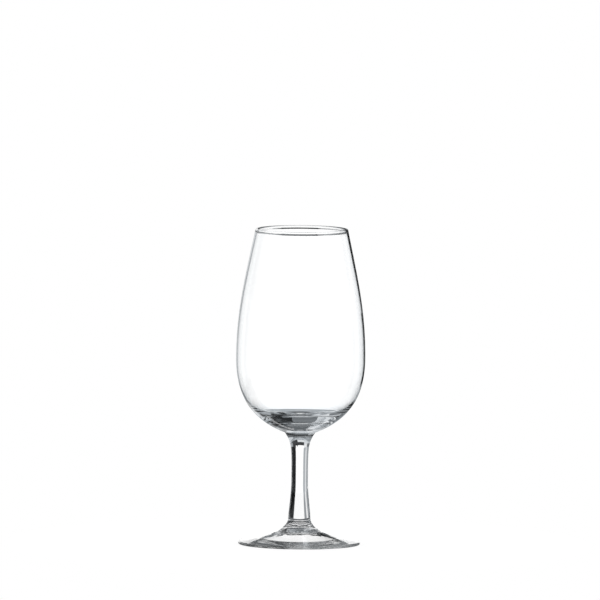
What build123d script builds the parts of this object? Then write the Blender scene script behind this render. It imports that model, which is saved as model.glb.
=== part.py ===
"""Small stemmed sherry glass: a blown bowl, a drawn stem and a spun foot, fused on two round seams.

Millimetres, +Z up. The origin is the centre of the ring that the glass stands on.
Each piece is half of its lengthwise section, drawn on the XZ plane and revolved about Z.
A curve's pull is how far its handle reaches, as a share of the height or width that the curve spans.
The heel's share is how far it lies from the collar out to the belly's inner wall.
"""

import os
from math import cos, hypot, radians, sin, tan

from build123d import *

# Heights of the three gathers of glass, from the table up
foot_height = 10.2
stem_length = 35.9
bowl_height = 83.9

# Round seams where the gathers are fused
collar_diameter = 12.6
neck_diameter = 9.5
neck_flare = 5.7

# Bowl, outside
belly_diameter = 53.1
belly_rise = 30.7
belly_pull = 0.52
base_slope = 20.5
base_pull = 0.67
rim_diameter = 38.2
rim_lean = 11.5
rim_pull = 0.375

# Bowl, inside
rim_wall = 0.8
belly_wall = 0.99
base_thickness = 6.65
heel_share = 0.535
heel_rise = 7.98
heel_slope = 29.2
heel_side_pull = 0.506
heel_up_pull = 0.277
heel_in_pull = 0.388
floor_flat_pull = 0.757

# Fire-polished lip, thicker than the wall below it
lip_thickness = 1.25
lip_swell = 1.0

# Stem
waist_diameter = 6.82
waist_rise = 16.5
waist_up_pull = 0.69
waist_down_pull = 0.35
collar_flare = 33.6
collar_pull = 0.235
neck_pull = 0.41

# Foot
foot_diameter = 50.0
edge_thickness = 1.25
skirt_pull = 0.63
brim_slope = 7.7
brim_pull = 0.23
ring_width = 9.65
ring_slope = 24.4
ring_pull = 0.35
hollow_depth = 5.1
hollow_flat_pull = 0.37

# Levels and radii that more than one piece uses
neck_z = foot_height
collar_z = foot_height + stem_length
rim_top_z = collar_z + bowl_height
collar_r = collar_diameter / 2
neck_r = neck_diameter / 2


def step(point, direction, distance):
    """The point that lies a distance from another along a direction in the section plane."""
    return (point[0] + direction[0] * distance, point[1] + direction[1] * distance)


# Bowl: the belly ring divides each side of its wall into an upper and a lower curve.
# Inside, the wall turns at a heel into the thick floor
belly_r = belly_diameter / 2
belly_z = collar_z + belly_rise
lip_r = lip_thickness / 2
lean = radians(rim_lean)
up_wall = (-sin(lean), cos(lean))
into_wall = (-cos(lean), -sin(lean))

base_edge = (collar_r, collar_z)
base_reach = base_pull * (belly_r - collar_r)
base_handle = (collar_r + base_reach, collar_z + base_reach * tan(radians(base_slope)))
belly_low_handle = (belly_r, belly_z - belly_pull * belly_rise)
belly_edge = (belly_r, belly_z)
rim_edge = (rim_diameter / 2, rim_top_z - lip_r * (1 - sin(lean)))
rim_reach = rim_pull * (rim_edge[1] - belly_z)
belly_high_handle = (belly_r, belly_z + rim_reach)
rim_handle = step(rim_edge, up_wall, -rim_reach)

lip_crest = step(step(rim_edge, into_wall, lip_r), up_wall, lip_r)
lip_inside = step(rim_edge, into_wall, lip_thickness)
wall_top = step(step(rim_edge, up_wall, -lip_swell), into_wall, rim_wall)
inner_belly = (belly_r - belly_wall, belly_z)
inner_rim_reach = rim_pull * (wall_top[1] - belly_z)
inner_rim_handle = step(wall_top, up_wall, -inner_rim_reach)
inner_high_handle = (inner_belly[0], belly_z + inner_rim_reach)
floor_z = collar_z + base_thickness
heel_r = collar_r + heel_share * (inner_belly[0] - collar_r)
heel_edge = (heel_r, collar_z + heel_rise)
up_heel = (cos(radians(heel_slope)), sin(radians(heel_slope)))
heel_span = hypot(inner_belly[0] - heel_r, belly_z - heel_edge[1])
inner_low_handle = (inner_belly[0], belly_z - heel_side_pull * (belly_z - heel_edge[1]))
heel_high_handle = step(heel_edge, up_heel, heel_up_pull * heel_span)
heel_low_handle = step(heel_edge, up_heel, -heel_in_pull * heel_r)
floor_handle = (floor_flat_pull * heel_r, floor_z)

with BuildPart() as bowl:
    with BuildSketch(Plane.XZ):
        with BuildLine():
            Bezier(base_edge, base_handle, belly_low_handle, belly_edge)
            Bezier(belly_edge, belly_high_handle, rim_handle, rim_edge)
            ThreePointArc(rim_edge, lip_crest, lip_inside)
            Bezier(
                lip_inside,
                step(lip_inside, up_wall, -lip_swell / 2),
                step(wall_top, up_wall, lip_swell / 2),
                wall_top,
            )
            Bezier(wall_top, inner_rim_handle, inner_high_handle, inner_belly)
            Bezier(inner_belly, inner_low_handle, heel_high_handle, heel_edge)
            Bezier(heel_edge, heel_low_handle, floor_handle, (0, floor_z))
            Line((0, floor_z), (0, collar_z))
            Line((0, collar_z), base_edge)
        make_face()
    revolve(axis=Axis.Z)

# Stem: drawn down to a waist, with a flared collar under the bowl
waist_edge = (waist_diameter / 2, neck_z + waist_rise)
waist_to_collar = collar_z - waist_edge[1]
neck_reach = neck_pull * waist_rise
neck_handle = (neck_r - neck_reach * tan(radians(neck_flare)), neck_z + neck_reach)
waist_low_handle = (waist_edge[0], waist_edge[1] - waist_down_pull * waist_rise)
waist_high_handle = (waist_edge[0], waist_edge[1] + waist_up_pull * waist_to_collar)
collar_reach = collar_pull * waist_to_collar
collar_handle = (collar_r - collar_reach * tan(radians(collar_flare)), collar_z - collar_reach)

with BuildPart() as stem:
    with BuildSketch(Plane.XZ):
        with BuildLine():
            Bezier((neck_r, neck_z), neck_handle, waist_low_handle, waist_edge)
            Bezier(waist_edge, waist_high_handle, collar_handle, base_edge)
            Line(base_edge, (0, collar_z))
            Line((0, collar_z), (0, neck_z))
            Line((0, neck_z), (neck_r, neck_z))
        make_face()
    revolve(axis=Axis.Z)

# Foot: a skirt sweeping out to a rounded edge, hollowed underneath and standing on a ring
foot_r = foot_diameter / 2
edge_r = edge_thickness / 2
brim_r = foot_r - edge_r
skirt_reach = skirt_pull * (foot_height - edge_thickness)
skirt_handle = (neck_r + skirt_reach * tan(radians(neck_flare)), neck_z - skirt_reach)
brim_reach = brim_pull * (brim_r - neck_r)
brim_handle = (brim_r - brim_reach, edge_thickness + brim_reach * tan(radians(brim_slope)))
ring_inner_r = brim_r - ring_width
ring_edge = (ring_inner_r, 0)
up_ring = (-cos(radians(ring_slope)), sin(radians(ring_slope)))
ring_handle = step(ring_edge, up_ring, ring_pull * ring_inner_r)
hollow_handle = (hollow_flat_pull * ring_inner_r, hollow_depth)

with BuildPart() as foot:
    with BuildSketch(Plane.XZ):
        with BuildLine():
            Bezier((neck_r, neck_z), skirt_handle, brim_handle, (brim_r, edge_thickness))
            ThreePointArc((brim_r, edge_thickness), (foot_r, edge_r), (brim_r, 0))
            Line((brim_r, 0), ring_edge)
            Bezier(ring_edge, ring_handle, hollow_handle, (0, hollow_depth))
            Line((0, hollow_depth), (0, neck_z))
            Line((0, neck_z), (neck_r, neck_z))
        make_face()
    revolve(axis=Axis.Z)

os.makedirs("parts", exist_ok=True)
for name, piece in {"bowl": bowl, "stem": stem, "foot": foot}.items():
    piece.part.label = name
    export_step(piece.part, f"parts/{name}.step")
    print(name, "volume", round(piece.part.volume), "mm3", "size", piece.part.bounding_box().size)
print("height", rim_top_z, "wall", belly_wall, "floor at", floor_z)
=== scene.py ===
# %% [markdown]
# # A small sherry glass
# The glass is three gathers of clear glass, fused hot: a blown bowl, a drawn stem and a spun foot.
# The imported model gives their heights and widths. This lesson draws each gather again as a fine,
# smooth surface, because glass shows every facet of a coarse mesh twice: once in its reflection
# and once in what is bent through it.

# %% Load the frame
import math

import bpy
import numpy as np
from mathutils import Matrix, Vector


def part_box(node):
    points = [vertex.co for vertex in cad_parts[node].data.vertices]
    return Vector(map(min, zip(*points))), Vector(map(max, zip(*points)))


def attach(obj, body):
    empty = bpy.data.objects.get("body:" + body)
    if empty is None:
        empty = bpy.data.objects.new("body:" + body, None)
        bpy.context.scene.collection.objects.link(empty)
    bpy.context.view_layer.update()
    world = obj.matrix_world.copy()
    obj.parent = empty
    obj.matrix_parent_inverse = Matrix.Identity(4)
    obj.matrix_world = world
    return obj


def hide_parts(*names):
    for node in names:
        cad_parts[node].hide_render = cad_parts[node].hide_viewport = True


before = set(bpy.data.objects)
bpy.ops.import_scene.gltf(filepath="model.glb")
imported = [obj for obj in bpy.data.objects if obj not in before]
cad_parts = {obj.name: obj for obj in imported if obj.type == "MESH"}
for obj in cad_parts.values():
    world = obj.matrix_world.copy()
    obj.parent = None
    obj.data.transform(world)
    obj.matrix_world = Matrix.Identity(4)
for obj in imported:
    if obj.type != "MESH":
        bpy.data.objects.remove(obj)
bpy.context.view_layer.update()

# %% [markdown]
# ## Levels and radii
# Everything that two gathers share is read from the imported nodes: the seam under the bowl, the
# seam on the foot, and the widest rings. What the boxes can't tell, such as the wall's thickness
# or how full a curve is, is written beside each gather in metres, as in the solid model.
# A pull is how far a curve's handle reaches, as a share of the height or width that it spans.

# %% Levels and radii
bowl_low, bowl_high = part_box("bowl")
stem_low, stem_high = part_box("stem")
foot_low, foot_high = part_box("foot")

mm = 0.001
neck_z = foot_high.z
collar_z = bowl_low.z
rim_top_z = bowl_high.z
belly_r = (bowl_high.x - bowl_low.x) / 2
collar_r = (stem_high.x - stem_low.x) / 2
foot_r = (foot_high.x - foot_low.x) / 2
neck_r = 4.75 * mm
neck_flare = math.tan(math.radians(5.7))
print("seams at", neck_z, collar_z, "rim at", rim_top_z, "belly", belly_r, "foot", foot_r)

# %% [markdown]
# ## Curves and turned surfaces
# A glassblower's outline has no corners, so each stretch is one cubic curve, pulled by a handle at
# either end. A turned piece could be made with a Screw modifier, but a grid of points is as short
# and leaves the poles and the sharp seams in our hands: one parameter runs along the outline, the
# other round the axis.

# %% Curves
TURNS = 360


def stretch(start, handle, other_handle, end, count):
    """A cubic curve: the four points weighted by (1-t)^3, 3t(1-t)^2, 3t^2(1-t) and t^3.

    The end is left out, because the next stretch starts there.
    """
    t = np.linspace(0.0, 1.0, count, endpoint=False)[:, None]
    a, b, c, d = (np.array(p) for p in (start, handle, other_handle, end))
    return a * (1 - t) ** 3 + b * 3 * t * (1 - t) ** 2 + c * 3 * t**2 * (1 - t) + d * t**3


def round_off(centre, radius, first, last, count):
    """Points on a circle, centre + radius (cos a, sin a), from the first angle up to the last."""
    angle = np.linspace(first, last, count, endpoint=False)
    return np.stack([centre[0] + radius * np.cos(angle), centre[1] + radius * np.sin(angle)], axis=1)


print("each gather is turned in", TURNS, "steps")

# %% Turned surfaces
def grid_faces(count):
    """Faces of count rings of TURNS points and two poles.

    Quads join each ring to the next, and a fan of triangles closes each end.
    """
    here = np.arange(TURNS)
    there = (here + 1) % TURNS
    row = np.arange(count - 1)[:, None] * TURNS
    quads = np.stack([row + here, row + there, row + TURNS + there, row + TURNS + here], axis=2)
    top = (count - 1) * TURNS
    first_fan = np.stack([there, here, np.full(TURNS, count * TURNS)], axis=1)
    last_fan = np.stack([top + here, top + there, np.full(TURNS, count * TURNS + 1)], axis=1)
    return quads.reshape(-1, 4).tolist() + first_fan.tolist() + last_fan.tolist()


def keep_sharp(mesh, count, sharp_rings):
    """Marks the edges that run along the given rings, so that smooth shading stops there."""
    ends = np.empty(len(mesh.edges) * 2, dtype=np.int32)
    mesh.edges.foreach_get("vertices", ends)
    ring_of = np.minimum(ends.reshape(-1, 2) // TURNS, count)
    along = (ring_of[:, 0] == ring_of[:, 1]) & (ring_of[:, 0] < count)
    sharp = along & np.isin(ring_of[:, 0] + 1, sharp_rings)
    mesh.attributes.new("sharp_edge", "BOOLEAN", "EDGE").data.foreach_set("value", sharp)


def turned(name, outline, sharp_rings, seams):
    """A closed surface: each outline point (r, z) goes round the axis as (r cos a, r sin a, z).

    The outline runs from the axis to the axis, so its first and last points become single poles.
    seams says which of its two ends, "first" or "last", is a fused seam and not a free surface:
    the fan of faces there takes the second material.
    """
    rings = outline[1:-1]
    count = len(rings)
    angle = np.linspace(0.0, 2 * np.pi, TURNS, endpoint=False)
    x = rings[:, :1] * np.cos(angle)
    y = rings[:, :1] * np.sin(angle)
    z = np.repeat(rings[:, 1:], TURNS, axis=1)
    poles = [[0, 0, outline[0, 1]], [0, 0, outline[-1, 1]]]
    points = np.vstack([np.stack([x, y, z], axis=2).reshape(-1, 3), poles])

    mesh = bpy.data.meshes.new(name)
    faces = grid_faces(count)
    mesh.from_pydata(points.tolist(), [], faces)
    mesh.polygons.foreach_set("use_smooth", np.ones(len(faces), dtype=bool))
    keep_sharp(mesh, count, sharp_rings)
    finish = np.zeros(len(faces), dtype=np.int32)
    wall = (count - 1) * TURNS
    finish[wall:wall + TURNS] = "first" in seams
    finish[wall + TURNS:] = "last" in seams
    mesh.polygons.foreach_set("material_index", finish)
    mesh.update()

    piece = bpy.data.objects.new(name, mesh)
    bpy.context.scene.collection.objects.link(piece)
    print(name, "rings", count, "faces", len(faces))
    return piece


# %% [markdown]
# ## The bowl
# The bowl is blown thin, but its base is left heavy, and that lens of solid glass is what catches
# the greys under the drink. Inside, the wall turns at a heel into an almost flat floor. The lip is
# melted round, a little thicker than the wall below it.
# The outline goes from the seam up the outside, over the lip, down the inside and along the floor.

# %% The bowl's curves
belly_z = collar_z + 30.7 * mm
belly_pull = 0.52
base_slope = math.tan(math.radians(20.5))
base_pull = 0.67
rim_r = 19.1 * mm
rim_lean = math.radians(11.5)
rim_pull = 0.375
rim_wall = 0.8 * mm
belly_wall = 0.99 * mm
lip_thickness = 1.25 * mm
lip_swell = 1.0 * mm
BASE_RINGS = 56
WALL_RINGS = 54
LIP_RINGS = 24
up_wall = np.array([-math.sin(rim_lean), math.cos(rim_lean)])
into_wall = np.array([-math.cos(rim_lean), -math.sin(rim_lean)])
belly = np.array([belly_r, belly_z])
rim = np.array([rim_r, rim_top_z - lip_thickness / 2 * (1 - math.sin(rim_lean))])


def bowl_outside():
    """Two cubic curves that meet upright at the belly ring, and the lip's half circle."""
    base = np.array([collar_r, collar_z])
    reach = base_pull * (belly_r - collar_r)
    base_handle = base + [reach, reach * base_slope]
    rim_reach = rim_pull * (rim[1] - belly_z)
    lip_r = lip_thickness / 2
    return np.vstack([
        stretch(base, base_handle, belly - [0, belly_pull * (belly_z - collar_z)], belly, BASE_RINGS),
        stretch(belly, belly + [0, rim_reach], rim - up_wall * rim_reach, rim, WALL_RINGS),
        round_off(rim + into_wall * lip_r, lip_r, rim_lean, rim_lean + math.pi, LIP_RINGS),
    ])


print("belly at", belly_z, "rim at", rim)

# %% The bowl's inside
floor_z = collar_z + 6.65 * mm
heel_share = 0.535
heel_r = collar_r + heel_share * (belly_r - belly_wall - collar_r)
heel = np.array([heel_r, collar_z + 7.98 * mm])
heel_slope = math.radians(29.2)
heel_side_pull = 0.506
heel_up_pull = 0.277
heel_in_pull = 0.388
floor_flat_pull = 0.757
SWELL_RINGS = 12
HEEL_RINGS = 36
FLOOR_RINGS = 40


def bowl_inside():
    """Cubic curves under the lip, down to the belly ring, on to the heel, and flat to the axis."""
    lip_inside = rim + into_wall * lip_thickness
    wall_top = rim - up_wall * lip_swell + into_wall * rim_wall
    half_swell = up_wall * lip_swell / 2
    inner_belly = belly - [belly_wall, 0]
    inner_reach = rim_pull * (wall_top[1] - belly_z)
    up_heel = np.array([math.cos(heel_slope), math.sin(heel_slope)])
    heel_up = heel_up_pull * np.hypot(*(inner_belly - heel))
    side_reach = heel_side_pull * (belly_z - heel[1])
    return np.vstack([
        stretch(lip_inside, lip_inside - half_swell, wall_top + half_swell, wall_top, SWELL_RINGS),
        stretch(
            wall_top, wall_top - up_wall * inner_reach,
            inner_belly + [0, inner_reach], inner_belly, WALL_RINGS,
        ),
        stretch(inner_belly, inner_belly - [0, side_reach], heel + up_heel * heel_up, heel, HEEL_RINGS),
        stretch(
            heel, heel - up_heel * heel_in_pull * heel[0],
            [floor_flat_pull * heel[0], floor_z], [0, floor_z], FLOOR_RINGS,
        ),
    ])


bowl_outline = np.vstack([[[0, collar_z]], bowl_outside(), bowl_inside(), [[0, floor_z]]])
bowl_glass = turned("bowl_glass", bowl_outline, sharp_rings=[1], seams=["first"])

# %% [markdown]
# ## The stem
# The stem is pulled out of the hot base, so it is thinnest near the middle and spreads again at
# both ends. The flared collar under the bowl is what the fingers rest against.

# %% The stem
waist_r = 3.41 * mm
waist_z = neck_z + 16.5 * mm
waist_up_pull = 0.69
waist_down_pull = 0.35
collar_flare = math.tan(math.radians(33.6))
collar_pull = 0.235
neck_pull = 0.41
LOWER_RINGS = 80
UPPER_RINGS = 110


def stem_outline():
    """Two cubic curves that meet upright at the waist, closed by flat seams at both ends."""
    below = waist_z - neck_z
    above = collar_z - waist_z
    neck = np.array([neck_r, neck_z])
    waist = np.array([waist_r, waist_z])
    collar = np.array([collar_r, collar_z])
    neck_handle = neck + np.array([-neck_flare, 1]) * neck_pull * below
    collar_handle = collar - np.array([collar_flare, 1]) * collar_pull * above
    return np.vstack([
        [[0, neck_z]],
        stretch(neck, neck_handle, waist - [0, waist_down_pull * below], waist, LOWER_RINGS),
        stretch(waist, waist + [0, waist_up_pull * above], collar_handle, collar, UPPER_RINGS),
        [collar],
        [[0, collar_z]],
    ])


stem_points = stem_outline()
stem_glass = turned("stem_glass", stem_points, [1, len(stem_points) - 2], ["first", "last"])

# %% [markdown]
# ## The foot
# The foot is a skirt of glass that sweeps out to a rounded edge. It stands on a narrow ring, and
# its underside is hollowed along with the skirt, so that it can't rock on a crumb and the brim
# stays thin and clear.

# %% The foot
edge_thickness = 1.25 * mm
skirt_pull = 0.63
brim_slope = math.tan(math.radians(7.7))
brim_pull = 0.23
ring_width = 9.65 * mm
hollow_depth = 5.1 * mm
hollow_flat_pull = 0.37
ring_slope = math.radians(24.4)
ring_pull = 0.35
HOLLOW_RINGS = 72
EDGE_RINGS = 32
SKIRT_RINGS = 130


def foot_outline():
    """One cubic curve under the hollow, the flat ring, a half round edge, and one cubic curve up."""
    edge_r = edge_thickness / 2
    brim = np.array([foot_r - edge_r, edge_thickness])
    ring = np.array([brim[0] - ring_width, 0])
    neck = np.array([neck_r, neck_z])
    up_ring = np.array([-math.cos(ring_slope), math.sin(ring_slope)])
    brim_reach = brim_pull * (brim[0] - neck_r)
    skirt_reach = skirt_pull * (neck_z - edge_thickness)
    return np.vstack([
        stretch(
            [0, hollow_depth], [hollow_flat_pull * ring[0], hollow_depth],
            ring + up_ring * ring_pull * ring[0], ring, HOLLOW_RINGS,
        ),
        [ring],
        round_off([brim[0], edge_r], edge_r, -math.pi / 2, math.pi / 2, EDGE_RINGS),
        stretch(
            brim, brim + [-brim_reach, brim_reach * brim_slope],
            neck + np.array([neck_flare, -1]) * skirt_reach, neck, SKIRT_RINGS,
        ),
        [neck],
        [[0, neck_z]],
    ])


foot_points = foot_outline()
foot_glass = turned("foot_glass", foot_points, [HOLLOW_RINGS, len(foot_points) - 2], ["last"])

# %% [markdown]
# ## Shader sums
# A finish is a sum of patterns, and in Blender each sum is a node. Wiring dozens of them by hand
# hides the sum, so this small class wraps a socket: an operator between two of them adds the Math
# node that works it out, and one method adds any other node.

# %% Shader sums
class Wire:
    """A socket in a node tree that takes part in Python sums."""

    def __init__(self, tree, socket=None):
        self.tree = tree
        self.socket = socket

    def node(self, kind, settings, values, out=0):
        """Adds a node: its settings first, then the number, colour or wire of each socket."""
        made = self.tree.nodes.new("ShaderNode" + kind)
        for name, setting in settings.items():
            setattr(made, name, setting)
        for name, value in values.items():
            if isinstance(value, Wire):
                self.tree.links.new(value.socket, made.inputs[name])
            else:
                made.inputs[name].default_value = value
        return Wire(self.tree, made.outputs[out] if len(made.outputs) else None)

    def maths(self, operation, first, second=0.0):
        """The Math node of that operation on two values."""
        return self.node("Math", {"operation": operation}, {0: first, 1: second})

    def __add__(self, other):
        return self.maths("ADD", self, other)

    def __radd__(self, other):
        return self.maths("ADD", other, self)

    def __sub__(self, other):
        return self.maths("SUBTRACT", self, other)

    def __rsub__(self, other):
        return self.maths("SUBTRACT", other, self)

    def __mul__(self, other):
        return self.maths("MULTIPLY", self, other)

    def __rmul__(self, other):
        return self.maths("MULTIPLY", other, self)

    def fade(self, low, high):
        """0 below low and 1 above high, with a smooth rise between them."""
        ends = {"Value": self, "From Min": low, "From Max": high}
        return self.node("MapRange", {"interpolation_type": "SMOOTHSTEP"}, ends)

    def mix(self, below, above):
        """A colour that goes from below to above as this value goes from 0 to 1."""
        return self.node("Mix", {"data_type": "RGBA"}, {0: self, 6: below, 7: above}, out=2)


def fresh_tree(block):
    """An empty node tree of a material or world."""
    block.use_nodes = True
    block.node_tree.nodes.clear()
    return Wire(block.node_tree)


print("sums ready")

# %% [markdown]
# ## Clear glass
# Soda glass bends light with an index near 1.52 and takes almost nothing from it. What it does take
# is red, so the heavy base looks a little cooler than the thin wall. A blown surface is never quite
# true: slow ripples run round it where the tool pressed, finer swirls lie in the foot's skirt where it
# was spun out, and the ring that it stands on is dulled by tables. These could be pushed into the
# mesh, but the ripples are far thinner than a hair and the swirls no thicker than one, so they are
# bump.

# %% Clear glass
thin_tint = (0.997, 0.999, 1.0, 1)
thick_tint = (0.955, 0.98, 1.0, 1)
glass_index = 1.52
ripple_height = 0.0000012
ripple_scale = 110.0
ripple_squeeze = (1, 1, 2.5)
swirl_ratio = 80
swirl_scale = 520.0
ring_roughness = 0.10
worn_height = 0.35 * mm

clear_glass = bpy.data.materials.new("clear_glass")
tree = fresh_tree(clear_glass)
place = tree.node("TexCoord", {}, {}, out="Object")
height = tree.node("SeparateXYZ", {}, {0: place}, out="Z")
thick = height.fade(collar_z - 6 * mm, collar_z) * (1 - height.fade(floor_z, floor_z + 5 * mm))
squeezed = tree.node("Mapping", {}, {"Vector": place, "Scale": ripple_squeeze})
ripple = tree.node("TexNoise", {}, {"Vector": squeezed, "Scale": ripple_scale, "Detail": 1.0})
skirt = height.fade(2.5 * mm, 4.5 * mm) * (1 - height.fade(8 * mm, 10 * mm))
swirl = tree.node("TexNoise", {}, {"Vector": place, "Scale": swirl_scale, "Detail": 0.0})
uneven = ripple + skirt * swirl * swirl_ratio
bump = tree.node("Bump", {}, {"Height": uneven, "Strength": 1.0, "Distance": ripple_height})
worn = 1 - height.fade(0.0, worn_height)
surface = tree.node("BsdfPrincipled", {}, {
    "Base Color": thick.mix(thin_tint, thick_tint),
    "Roughness": worn * ring_roughness,
    "Normal": bump,
    "IOR": glass_index,
    "Transmission Weight": 1.0,
})
tree.node("OutputMaterial", {}, {"Surface": surface})
print("clear glass has", len(clear_glass.node_tree.nodes), "nodes")

# %% [markdown]
# ## Fused seams
# Where two gathers were fused there is no surface left for light to notice. The pieces still have
# faces there, since each one is closed, so those faces let light straight through.

# %% Fused seams
fused_seam = bpy.data.materials.new("fused_seam")
tree = fresh_tree(fused_seam)
tree.node("OutputMaterial", {}, {"Surface": tree.node("BsdfTransparent", {}, {})})

for piece, node in ((bowl_glass, "bowl"), (stem_glass, "stem"), (foot_glass, "foot")):
    piece.data.materials.append(clear_glass)
    piece.data.materials.append(fused_seam)
    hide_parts(node)
    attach(piece, "root")
    print(piece.name, "stands for", node)

# %% [markdown]
# ## The studio
# Clear glass has no look of its own: it shows what stands round it. A photographer lights it from a
# white panel behind and keeps the room above dim, because every edge of the glass bends the view out
# to there and is drawn as a grey line. What is far away is only a direction, so it is painted on the
# world: azimuth from straight behind, positive to the right, and elevation from the table. To the
# camera, and as the light on the floor, the world is plain white, and what is seen straight through
# the two thin walls of the bowl is white too. Each zone has two levels, one for rays that were only
# bent and one for rays that were mirrored. No real studio has that: it stands for the many small
# things in a room that a few zones leave out.

# %% The studio's helpers
def grey(level):
    """A studio grey: a little cooler as it gets darker, and white from 1 up."""
    cool = 0.10 * min(1.0, max(0.0, 1.0 - level) * 2)
    return (level * (1 - cool), level * (1 - 0.45 * cool), level, 1)


def between(value, low, high, soft):
    """1 where the value is between low and high, 0 outside, fading within soft of either end."""
    return value.fade(low - soft, low + soft) * (1 - value.fade(high - soft, high + soft))


def bearing(tree, vector):
    """Azimuth in degrees from +Y to +X, with the vector's x, y and z."""
    parts = [tree.node("SeparateXYZ", {}, {0: vector}, out=axis) for axis in range(3)]
    azimuth = tree.maths("ARCTAN2", parts[0], parts[1]) * math.degrees(1.0)
    return azimuth, *parts


def by_mirror(tree):
    """1 for a ray that was mirrored on its way through the glass, 0 for one that was only bent."""
    return tree.maths("MINIMUM", tree.node("LightPath", {}, {}, out="Glossy Depth"), 1.0)


def surfaces_crossed(tree):
    """How many surfaces of glass a ray has been bent by."""
    return tree.node("LightPath", {}, {}, out="Transmission Depth")


def past_two_walls(tree):
    """1 for a ray that was bent by four surfaces or more, which is two walls."""
    return tree.maths("GREATER_THAN", surfaces_crossed(tree), 3.5)


def glinting(tree):
    """1 for a ray that was mirrored by the outside of the glass and never went in."""
    return by_mirror(tree) * tree.maths("LESS_THAN", surfaces_crossed(tree), 0.5)


# What is seen through two walls is lit above white, because their surfaces mirror some of it away
past_walls_white = grey(1.25)
print("greys", grey(0.05), grey(0.5), grey(1.0))

# %% The studio's world
world = bpy.data.worlds.new("studio")
bpy.context.scene.world = world
tree = fresh_tree(world)
azimuth, _, _, rise = bearing(tree, tree.node("TexCoord", {}, {}, out="Generated"))
elevation = tree.maths("ARCSINE", rise) * math.degrees(1.0)
mirrored = by_mirror(tree)

# Name, level seen through the glass and in its mirrors,
# azimuth from and to, elevation from and to, softness of the edges in degrees
zones = (
    ("room", 0.37, 0.32, -200, 200, -9, 58, 1.0),
    ("ceiling", 0.80, 0.15, -200, 200, 58, 100, 3.0),
    ("wall on the left", 0.56, 0.35, -125, -55, -9, 58, 2.0),
    ("wall on the right", 0.75, 0.75, 66, 125, -9, 58, 2.0),
    ("above on the left", 0.70, 0.74, -55, -25, 3, 58, 2.0),
    ("above on the right", 0.30, 0.08, 25, 66, 8, 58, 2.0),
    ("screen on the left", 0.80, 0.85, -55, -25, -14, 3, 1.0),
    ("screen on the right", 0.70, 0.70, 25, 66, -14, 8, 1.0),
    ("above the panel", 0.80, 0.15, -25, 25, 20, 58, 1.0),
    ("shade over the panel", 0.01, 0.22, -25, 25, 9, 20, 1.0),
    ("upper panel", 1.08, 0.19, -25, 25, -6, 9, 1.0),
    ("lower panel", 1.08, 0.75, -25, 25, -14, -1, 1.0),
)
room = mirrored.mix(grey(1.05), grey(0.45))
for _, through, mirror, left, right, bottom, top, soft in zones:
    zone = between(azimuth, left, right, soft) * between(elevation, bottom, top, soft)
    room = zone.mix(room, mirrored.mix(grey(through), grey(mirror)))
print("studio has", len(zones), "zones")

# %% What the outside and the thin walls see
# In degrees: how far to either side of straight behind the outside still glints, and how high the
# white seen through two walls reaches
glint_reach = 60
glint_softness = 5
clear_top = 4
dark_front = grey(0.05)

in_front = 1 - between(azimuth, -glint_reach, glint_reach, glint_softness)
room = (glinting(tree) * in_front).mix(room, dark_front)
clear_view = past_two_walls(tree) * (1 - mirrored) * (1 - elevation.fade(0, clear_top))
room = clear_view.mix(room, past_walls_white)
glossy = tree.node("LightPath", {}, {}, out="Is Glossy Ray")
bent = tree.node("LightPath", {}, {}, out="Is Transmission Ray")
seen_by_glass = tree.maths("MAXIMUM", glossy, bent)
backdrop = tree.node("Background", {}, {"Color": seen_by_glass.mix(grey(1.0), room), "Strength": 1.0})
tree.node("OutputWorld", {}, {"Surface": backdrop})
print("world has", len(world.node_tree.nodes), "nodes")

# %% [markdown]
# ## Cards close to the glass
# A black flag stands on the right, edge-on to the camera and just clear of the bowl. It draws the dark
# line down the right of the bowl, and the black one down the left of the stem, which turns the view
# round as a lens does. Grey screens stand on the left, low white strips behind the foot and the stem,
# and two small cards over the rim shape its lines. They could be zones of the world, but the bowl's
# edge is close to them and the stem isn't, so they are objects. Only the glass sees them. A card's
# reach is how near a ray has to start to see it, so that a strip can light the foot and leave the
# stem alone. With a reach of 0 it is seen only as a glint on the outside of the glass.

# %% Cards close to the glass
# Name, level, ends on the table, height from and to, and reach, in millimetres
cards = (
    ("flag over the rim", 0.01, (-9, 45), (7, 45), 130.4, 142, 400),
    ("card over the rim", 1.05, (-50, 45), (-12, 45), 130.4, 150, 400),
    ("flag by the bowl", 0.01, (34, 18.5), (34, 220), 95, 145, 400),
    ("flag by the belly", 0.01, (34, 13.5), (34, 220), 62, 95, 400),
    ("flag by the base", 0.40, (34, 18), (34, 50), 48, 62, 400),
    ("flag behind the base", 0.01, (34, 50), (34, 110), 48, 62, 400),
    ("flag by the stem", 0.004, (34, 8), (34, 100), 0, 48, 400),
    ("screen by the bowl", 0.32, (-34, 17), (-34, 30), 62, 145, 400),
    ("screen behind the bowl", 0.72, (-34, 30), (-34, 110), 62, 145, 400),
    ("screen by the base", 0.20, (-34, 18), (-34, 50), 48, 62, 400),
    ("screen behind the base", 0.85, (-34, 50), (-34, 110), 48, 62, 400),
    ("card by the heel", 1.05, (-33.5, 25), (-33.5, 64), 22, 48, 36),
    ("screen by the stem", 0.40, (-34, 24), (-34, 42), 0, 48, 400),
    ("screen behind the stem", 0.47, (-34, 64), (-34, 110), 0, 48, 400),
    ("strip behind the foot", 1.60, (-45, 27), (45, 27), 0, 11, 0),
    ("strip behind the stem", 1.05, (-13, 42), (14, 42), 0, 14, 48),
)
print(len(cards), "cards")

# %% Upright cards
# A card that starts below this height, in millimetres, stays in view of the mirrors in the base
base_top = 60


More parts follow.
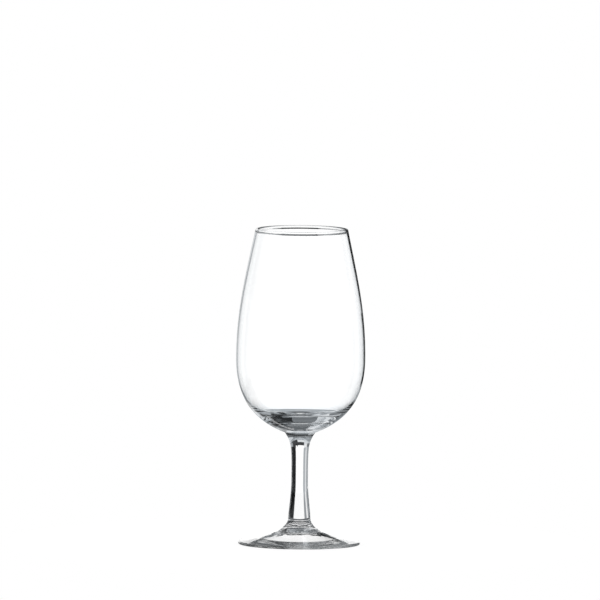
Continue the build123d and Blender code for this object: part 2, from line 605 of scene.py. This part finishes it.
def upright_card(name, level, start, end, bottom, top, reach):
    """One upright quad over the line between two points, lit evenly, that only the glass sees.

    It is clear to rays that have crossed two walls, and to rays that run further than its reach.
    """
    ends = np.array([start, end, end, start])
    heights = np.array([[bottom], [bottom], [top], [top]])
    mesh = bpy.data.meshes.new(name)
    mesh.from_pydata((np.hstack([ends, heights]) * mm).tolist(), [], [(0, 1, 2, 3)])
    card = bpy.data.objects.new(name, mesh)
    bpy.context.scene.collection.objects.link(card)
    card.visible_camera = False
    card.visible_diffuse = False
    card.visible_shadow = False
    cloth = bpy.data.materials.new(name)
    tree = fresh_tree(cloth)
    lit = tree.node("Emission", {}, {"Color": grey(level), "Strength": 1.0})
    clear = tree.node("BsdfTransparent", {}, {})
    unseen = past_two_walls(tree)
    if bottom < base_top:
        unseen = unseen * (1 - by_mirror(tree))
    distance = tree.node("LightPath", {}, {}, out="Ray Length")
    too_far = tree.maths("GREATER_THAN", distance, reach * mm) * (1 - glinting(tree))
    unseen = tree.maths("MAXIMUM", unseen, too_far)
    mixed = tree.node("MixShader", {}, {0: unseen, 1: lit, 2: clear})
    tree.node("OutputMaterial", {}, {"Surface": mixed})
    mesh.materials.append(cloth)


for card in cards:
    upright_card(*card)
print("cards up to", max(card[5] for card in cards), "mm high")

# %% [markdown]
# ## The floor
# The glass stands on a pale round board. To the camera it is as white as the backdrop, so that its
# edge doesn't show, and a small share of it is lit by the studio, so that the foot keeps a faint
# shadow. Through the glass it glows instead with painted light and shade: white under the foot,
# painted shade round about and painted greys further out, which draw the crescent in the base and
# the lower ends of the stem's lines. From above, that painted grey would make the bowl seem full, so
# the board is painted lighter for rays that left the glass steeply or high up.

# %% The floor
board_r = 120 * mm
board_z = -0.05 * mm


def board_mesh(name, rings=12):
    """Rings of points at even steps out to the board's radius, joined by quads and one fan."""
    out = np.linspace(0.0, board_r, rings + 1)[1:, None]
    angle = np.linspace(0.0, 2 * np.pi, TURNS, endpoint=False)
    level = np.full((rings, TURNS), board_z)
    flat = np.stack([out * np.cos(angle), out * np.sin(angle), level], axis=2)
    points = np.vstack([flat.reshape(-1, 3), [[0, 0, board_z]]])
    here = np.arange(TURNS)
    there = (here + 1) % TURNS
    row = np.arange(rings - 1)[:, None] * TURNS
    quads = np.stack([row + here, row + TURNS + here, row + TURNS + there, row + there], axis=2)
    fan = np.stack([here, there, np.full(TURNS, rings * TURNS)], axis=1)
    mesh = bpy.data.meshes.new(name)
    mesh.from_pydata(points.tolist(), [], quads.reshape(-1, 4).tolist() + fan.tolist())
    return mesh


board = bpy.data.objects.new("board", board_mesh("board"))
bpy.context.scene.collection.objects.link(board)
print("board of", board_r * 2, "m")

# %% The floor's painted shades
shade_softness = 2
# Seen from the glass, the board glows with painted light and shade; to the camera it is white with a
# real faint shadow
board_with_painted_shades = bpy.data.materials.new("board_with_painted_shades")
tree = fresh_tree(board_with_painted_shades)
azimuth, x, y, _ = bearing(tree, tree.node("TexCoord", {}, {}, out="Object"))
outward = tree.maths("SQRT", x * x + y * y) * (1 / mm)
mirrored = by_mirror(tree)

# Name, level seen through the glass and in its mirrors,
# azimuth from and to in degrees, distance from and to in millimetres
shades = (
    # Every row is painted: painted shade round the foot and on the right, painted light in the gap on
    # the left
    ("round the foot", 0.10, 0.05, -200, 200, 22, 45),
    ("round the back of the foot", 0.14, 0.03, -70, 70, 22, 45),
    ("in front", 0.60, 0.60, -200, 200, 45, 200),
    ("on the right", 0.03, 0.20, 20, 100, 45, 200),
    ("on the left", 0.34, 0.15, -85, -22, 45, 200),
    ("gap on the left", 0.95, 0.15, -38, -28, 45, 200),
    ("behind", 0.28, 0.90, -22, 20, 45, 200),
)
tone = mirrored.mix(grey(1.1), grey(0.08))
for _, through, mirror, left, right, near, far in shades:
    shade = between(azimuth, left, right, shade_softness) * between(outward, near, far, shade_softness)
    tone = shade.mix(tone, mirrored.mix(grey(through), grey(mirror)))
print("board has", len(shades), "shades")

# %% The floor from above
# A steep ray runs further than the place it meets is from the axis. The height that a ray left the
# glass at is the upright side of a right triangle, whose long side is the ray. In millimetres.
steep_level = 0.52
leaves_at = 5

distance = tree.node("LightPath", {}, {}, out="Ray Length") * (1 / mm)
across = outward - leaves_at
height_left = tree.maths("SQRT", distance * distance - across * across)
steep = past_two_walls(tree) * (distance - outward).fade(-4, 1) * outward.fade(45, 60)
from_high = height_left.fade(50, 62)
# Painted light: the board is painted lighter to steep rays and to rays from high up
tone = (steep * (1 - mirrored)).mix(tone, grey(steep_level))
tone = (from_high * (1 - mirrored)).mix(tone, past_walls_white)
print("board's finish has", len(board_with_painted_shades.node_tree.nodes), "nodes so far")

# %% The floor to the camera
camera_level = 1.02
shadow_share = 0.16

# To rays from the glass the board glows with the painted tones
through_glass = tree.node("Emission", {}, {"Color": tone, "Strength": 1.0})
white = tree.node("Emission", {}, {"Color": (1, 1, 1, 1), "Strength": camera_level - shadow_share})
lit = tree.node("BsdfDiffuse", {}, {"Color": (shadow_share, shadow_share, shadow_share, 1)})
to_camera = tree.node("AddShader", {}, {0: white, 1: lit})
camera_ray = tree.node("LightPath", {}, {}, out="Is Camera Ray")
tree.node("OutputMaterial", {}, {
    "Surface": tree.node("MixShader", {}, {0: camera_ray, 1: through_glass, 2: to_camera}),
})
board.data.materials.append(board_with_painted_shades)
print("shadow takes", shadow_share, "of the board")

# %% [markdown]
# ## The camera
# The photograph was taken from far off with a long lens, a little above the table, and leans by about
# half a degree. The scale is in pixels per metre, so the lens follows from the distance.

# %% The camera
PHOTO = 600
camera_distance = 10.0
camera_elevation = math.radians(4.75)
camera_roll = math.radians(0.51)
pixels_per_metre = 2434.6
aim = Vector((-0.0005, 0, 0.10065))

camera_data = bpy.data.cameras.new("camera")
camera_data.sensor_width = 36.0
camera_data.lens = pixels_per_metre * camera_distance / PHOTO * camera_data.sensor_width
camera_data.clip_end = 10 * camera_distance
camera = bpy.data.objects.new("camera", camera_data)
bpy.context.scene.collection.objects.link(camera)
back = Vector((0, -math.cos(camera_elevation), math.sin(camera_elevation)))
turn = (-back).to_track_quat("-Z", "Y").to_matrix().to_4x4() @ Matrix.Rotation(camera_roll, 4, "Z")
camera.matrix_world = Matrix.Translation(aim + back * camera_distance) @ turn
bpy.context.scene.camera = camera
print("lens", camera_data.lens, "mm")

# %% [markdown]
# ## Light through many walls
# A ray that enters the heavy base is turned back inside it many times before it finds its way out,
# so the renderer is allowed more bounces than it takes by itself.

# %% Light through many walls
BOUNCES = 32
scene = bpy.context.scene
scene.view_settings.view_transform = "Standard"
scene.cycles.max_bounces = BOUNCES
scene.cycles.transmission_bounces = BOUNCES
scene.cycles.glossy_bounces = BOUNCES
scene.cycles.transparent_max_bounces = BOUNCES
print("bounces", BOUNCES)
